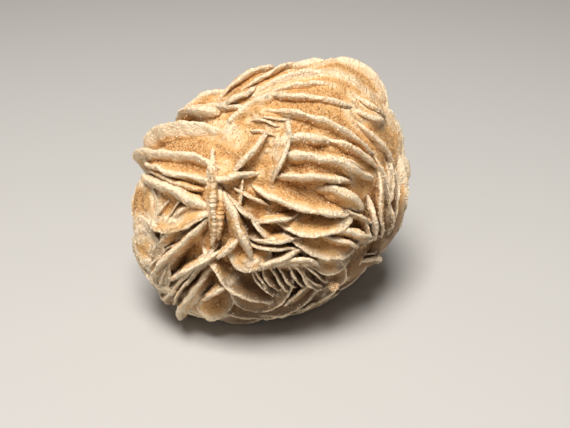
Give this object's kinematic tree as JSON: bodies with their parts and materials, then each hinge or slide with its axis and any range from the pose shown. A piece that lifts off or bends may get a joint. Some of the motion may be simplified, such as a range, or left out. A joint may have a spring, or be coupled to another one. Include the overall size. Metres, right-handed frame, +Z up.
{
  "type": "gypsum sand rose",
  "caption": "Desert rose: a fused cluster of lens-shaped gypsum blades round a sandy heart, resting on worn blade tips.",
  "frame": {"origin": "middle of the stone's box, on the plane that its lowest blade tips stand on", "axes": "+Z up as the stone rests, -Y towards the side with the crossing blades, +X to that side's right"},
  "size_m": [0.0539, 0.0481, 0.0487],
  "materials": {
    "gypsum": "rough natural gypsum: cream blade rims, tan faces and orange sand in the valleys"
  },
  "bodies": {
    "root": {"sand_rose": "gypsum"}
  },
  "joints": []
}
